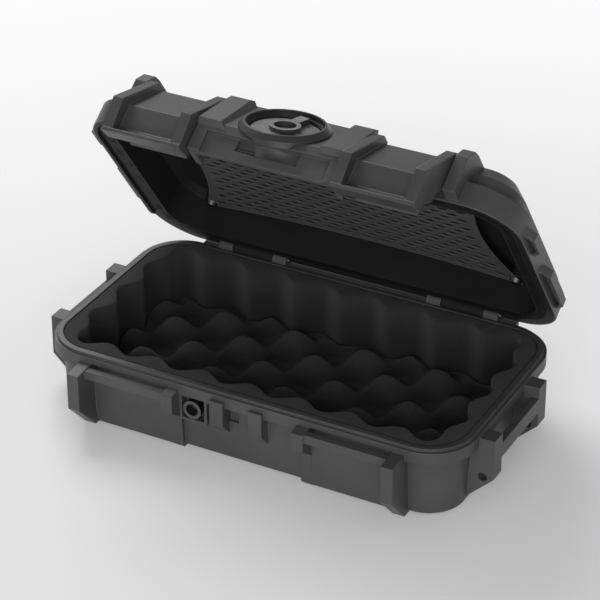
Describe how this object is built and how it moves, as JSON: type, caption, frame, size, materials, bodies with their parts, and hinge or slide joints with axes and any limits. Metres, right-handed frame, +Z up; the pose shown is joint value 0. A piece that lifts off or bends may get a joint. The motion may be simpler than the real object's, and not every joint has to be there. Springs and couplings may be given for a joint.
{
  "type": "pressure gauge case",
  "caption": "Small black hard case with a hinged lid held open, bevelled latches, a purge valve on the lid's hood, egg-crate foam and a net in the lid.",
  "frame": {"origin": "on the floor under the centre of the base's rim, on the middle rail of the base", "axes": "+X along the hinge, +Y from the latches to the hinge, +Z up"},
  "size_m": [0.248, 0.1547, 0.1714],
  "materials": {
    "case_plastic": "moulded, fine texture",
    "latch_plastic": "moulded, satin",
    "hook_plastic": "moulded, satin",
    "valve_plastic": "moulded, satin",
    "valve_metal": "grey moulded plastic",
    "steel": "plain steel",
    "screw_steel": "blackened steel",
    "foam": "open-cell foam",
    "net": "slotted elastic net",
    "seal": "soft rubber",
    "membrane": "breathable film"
  },
  "bodies": {
    "base": {"base_shell": "case_plastic", "lock_bush": "steel", "foam_liner": "foam", "foam_pad": "foam", "hinge_pins": "steel"},
    "lid": {"lid_shell": "case_plastic", "lid_gasket": "seal", "lid_net": "net", "net_screws": "screw_steel", "latch_pins": "steel", "valve_body": "valve_plastic", "valve_bezel": "valve_plastic", "valve_seal": "seal", "valve_membrane": "membrane"},
    "valve_dial": {"valve_dial": "valve_metal"},
    "latch_left": {"latch_lever_left": "latch_plastic", "hook_pin_left": "steel"},
    "hook_left": {"latch_hook_left": "hook_plastic"},
    "latch_right": {"latch_lever_right": "latch_plastic", "hook_pin_right": "steel"},
    "hook_right": {"latch_hook_right": "hook_plastic"}
  },
  "joints": [
    {"name": "lid_hinge", "type": "hinge", "parent": "base", "child": "lid", "pos_m": [0, 0.0652, 0.0414], "axis": [-1, 0, 0], "range_deg": [-54, 41]},
    {"name": "valve_turn", "type": "hinge", "parent": "lid", "child": "valve_dial", "pos_m": [0, -0.01431, 0.16446], "axis": [0, 0.1564, 0.9877], "range_deg": [0, 90]},
    {"name": "latch_left_pivot", "type": "hinge", "parent": "lid", "child": "latch_left", "pos_m": [-0.0613, -0.00662, 0.15658], "axis": [-1, 0, 0], "range_deg": [-14, 70]},
    {"name": "hook_left_pivot", "type": "hinge", "parent": "latch_left", "child": "hook_left", "pos_m": [-0.0613, -0.0254, 0.15691], "axis": [-1, 0, 0], "range_deg": [-9, 43]},
    {"name": "latch_right_pivot", "type": "hinge", "parent": "lid", "child": "latch_right", "pos_m": [0.0613, -0.00662, 0.15658], "axis": [-1, 0, 0], "range_deg": [-14, 70]},
    {"name": "hook_right_pivot", "type": "hinge", "parent": "latch_right", "child": "hook_right", "pos_m": [0.0613, -0.0254, 0.15691], "axis": [-1, 0, 0], "range_deg": [-9, 43]}
  ],
  "couplings": [
    {"joint": "hook_left_pivot", "follows": "latch_left_pivot", "ratio": 0.6},
    {"joint": "hook_right_pivot", "follows": "latch_right_pivot", "ratio": 0.6}
  ]
}
